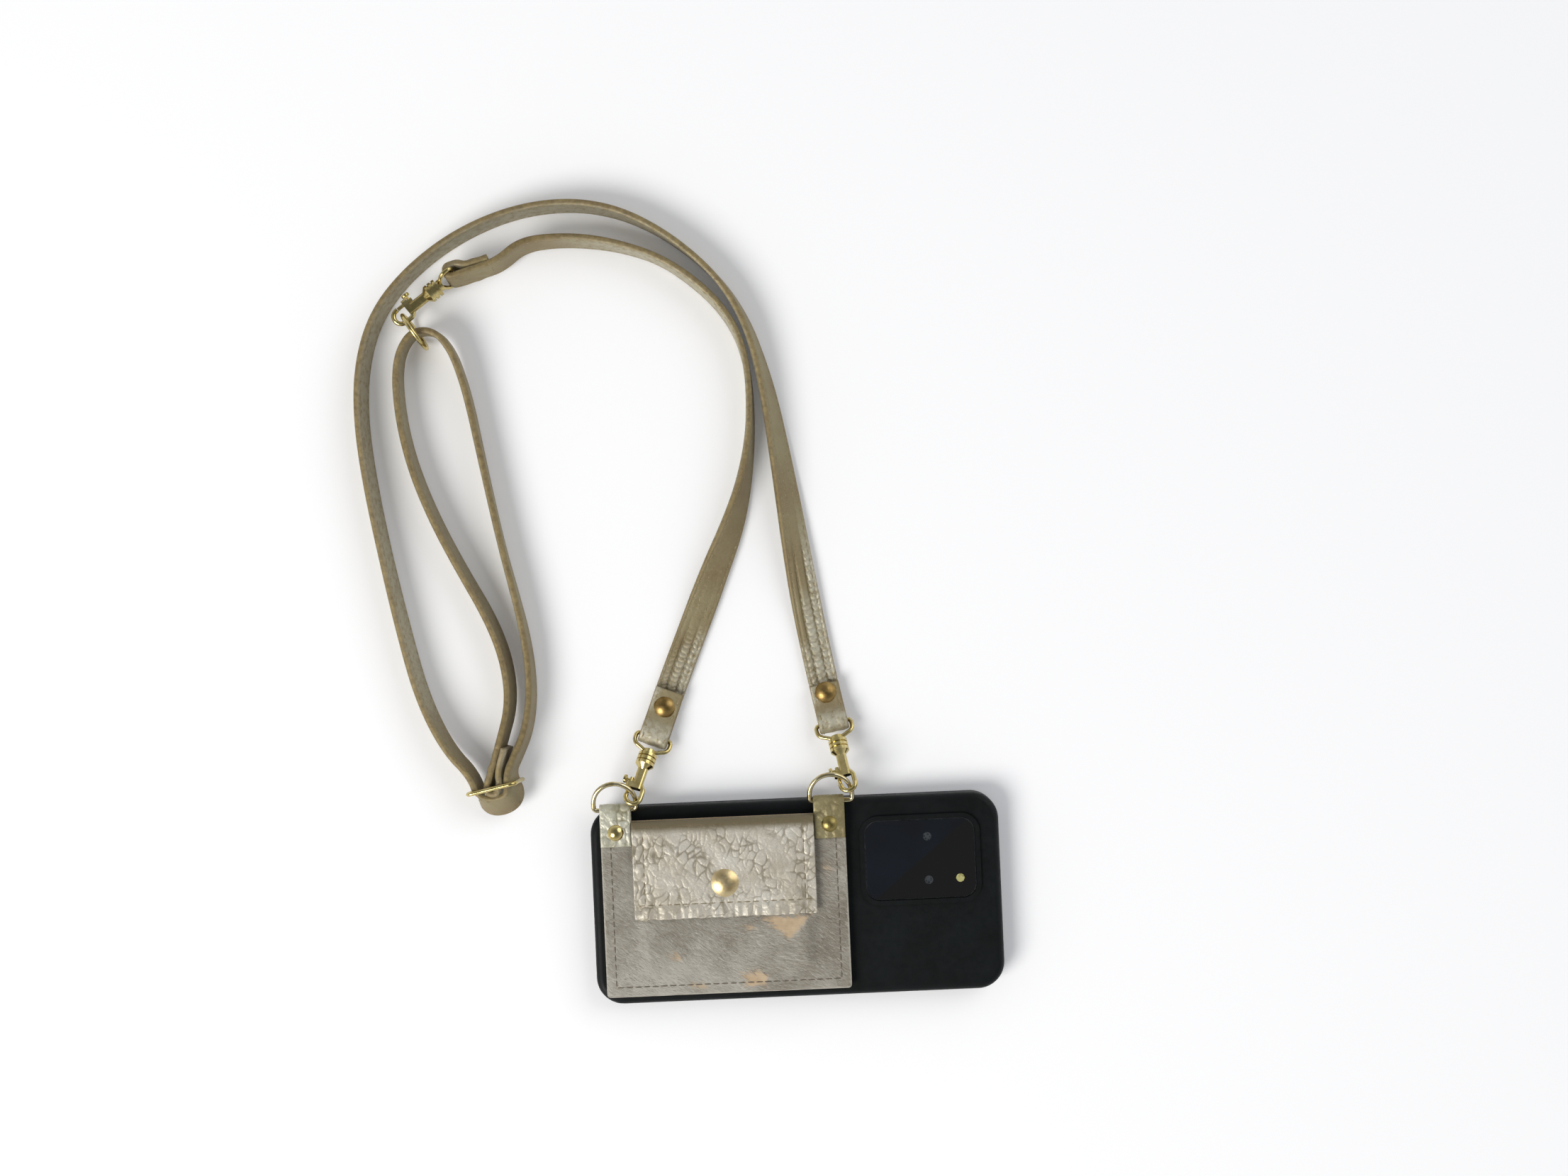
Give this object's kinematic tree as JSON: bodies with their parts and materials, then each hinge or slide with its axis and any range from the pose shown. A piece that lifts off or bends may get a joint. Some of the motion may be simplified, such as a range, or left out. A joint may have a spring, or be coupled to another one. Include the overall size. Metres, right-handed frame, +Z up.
{
  "type": "phone pouch",
  "caption": "Flat leather pouch with a snap flap on the back of a phone case, and an adjustable crossbody strap clipped to its rings by swivel snap hooks.",
  "frame": {"origin": "on the table, under the middle of the box round the case, pouch and rings", "axes": "+X along the phone towards its camera, +Y towards the strap, +Z up from the table, through the phone's back"},
  "size_m": [0.2543, 0.3278, 0.0203],
  "materials": {
    "case_black": "matte",
    "phone_metal": "satin",
    "glass_black": "polished",
    "camera_black": "polished",
    "lens_black": "polished",
    "flash_yellow": "satin",
    "pad_grey": "matte",
    "hide_grey": "short-haired hide",
    "flap_silver": "crinkled metallic",
    "lining_tan": "suede",
    "tab_silver": "metallic",
    "strap_tan": "fine-pored metallic",
    "gold": "polished",
    "steel": "plain"
  },
  "bodies": {
    "pouch": {"phone_case": "case_black", "adhesive_pad": "pad_grey", "back_panel": "lining_tan", "front_panel": "hide_grey", "flap_root": "flap_silver", "snap_stud": "steel", "snap_base": "steel", "left_tab": "tab_silver", "left_tab_rivet": "gold", "left_strap_end": "strap_tan", "left_strap_rivet": "gold", "right_tab": "tab_silver", "right_tab_rivet": "gold", "right_strap_end": "strap_tan", "right_strap_rivet": "gold", "far_swivel_eye": "gold", "far_strap_end": "strap_tan", "slider": "gold", "loop_strap_end": "strap_tan", "short_strap": "strap_tan", "long_strap": "strap_tan", "strap_loop": "strap_tan"},
    "phone": {"phone_body": "phone_metal", "screen_glass": "glass_black", "camera_window": "camera_black", "camera_lenses": "lens_black", "camera_flash": "flash_yellow"},
    "flap": {"flap": "flap_silver", "flap_lining": "lining_tan", "snap_cap": "gold", "snap_socket": "steel"},
    "link_ring": {"link_ring": "gold"},
    "far_hook": {"far_hook": "gold"},
    "far_bolt": {"far_hook_bolt": "gold"},
    "left_ring": {"left_ring": "gold"},
    "left_eye": {"left_swivel_eye": "gold"},
    "left_hook": {"left_hook": "gold"},
    "left_bolt": {"left_hook_bolt": "gold"},
    "right_ring": {"right_ring": "gold"},
    "right_eye": {"right_swivel_eye": "gold"},
    "right_hook": {"right_hook": "gold"},
    "right_bolt": {"right_hook_bolt": "gold"}
  },
  "joints": [
    {"name": "phone_out", "type": "slide", "parent": "pouch", "child": "phone", "axis": [0, 0, -1], "range_m": [0, 0.012]},
    {"name": "flap_hinge", "type": "hinge", "parent": "pouch", "child": "flap", "pos_m": [-0.029, 0.02662, 0.01607], "axis": [-1, 0, 0], "range_deg": [0, 140], "deforming": ["flap_root"]},
    {"name": "left_eye_tilt", "type": "hinge", "parent": "pouch", "child": "left_eye", "pos_m": [-0.05563, 0.062, 0.0039], "axis": [-0.9336, 0.3584, 0], "range_deg": [-1, 4]},
    {"name": "left_ring_swing", "type": "hinge", "parent": "pouch", "child": "left_ring", "pos_m": [-0.0722, 0.0338, 0.0137], "axis": [1, 0, 0], "range_deg": [-4.19, 16.6]},
    {"name": "left_hook_swivel", "type": "hinge", "parent": "left_eye", "child": "left_hook", "pos_m": [-0.05563, 0.062, 0.0039], "axis": [-0.3221, -0.839, 0.4386], "range_deg": [-5, 12]},
    {"name": "left_bolt_slide", "type": "slide", "parent": "left_hook", "child": "left_bolt", "axis": [0.3221, 0.839, -0.4386], "range_m": [0, 0.0032], "stiffness_N_per_m": 150, "springref_m": -0.002},
    {"name": "right_eye_tilt", "type": "hinge", "parent": "pouch", "child": "right_eye", "pos_m": [0.01764, 0.06459, 0.0039], "axis": [-0.9816, -0.1908, 0], "range_deg": [-1, 4]},
    {"name": "right_ring_swing", "type": "hinge", "parent": "pouch", "child": "right_ring", "pos_m": [0.0152, 0.0338, 0.0137], "axis": [1, 0, 0], "range_deg": [-3.2, 12.66]},
    {"name": "right_hook_swivel", "type": "hinge", "parent": "right_eye", "child": "right_hook", "pos_m": [0.01764, 0.06459, 0.0039], "axis": [0.1694, -0.8715, 0.4602], "range_deg": [-5, 12]},
    {"name": "right_bolt_slide", "type": "slide", "parent": "right_hook", "child": "right_bolt", "axis": [-0.1694, 0.8715, -0.4602], "range_m": [0, 0.0032], "stiffness_N_per_m": 150, "springref_m": -0.002},
    {"name": "far_hook_swivel", "type": "hinge", "parent": "pouch", "child": "far_hook", "pos_m": [-0.1286, 0.2538, 0.0086], "axis": [-0.7952, -0.6001, 0.0871], "range_deg": [-25, 20]},
    {"name": "far_bolt_slide", "type": "slide", "parent": "far_hook", "child": "far_bolt", "axis": [0.7952, 0.6001, -0.0871], "range_m": [0, 0.0032], "stiffness_N_per_m": 150, "springref_m": -0.002},
    {"name": "link_ring_turn", "type": "hinge", "parent": "pouch", "child": "link_ring", "pos_m": [-0.14983, 0.23778, 0.01093], "axis": [0.112, -0.1725, 0.9786], "range_deg": [-10, 7]}
  ],
  "couplings": [
    {"joint": "left_ring_swing", "follows": "left_eye_tilt", "ratio": 4.1374},
    {"joint": "right_ring_swing", "follows": "right_eye_tilt", "ratio": 3.1513}
  ]
}
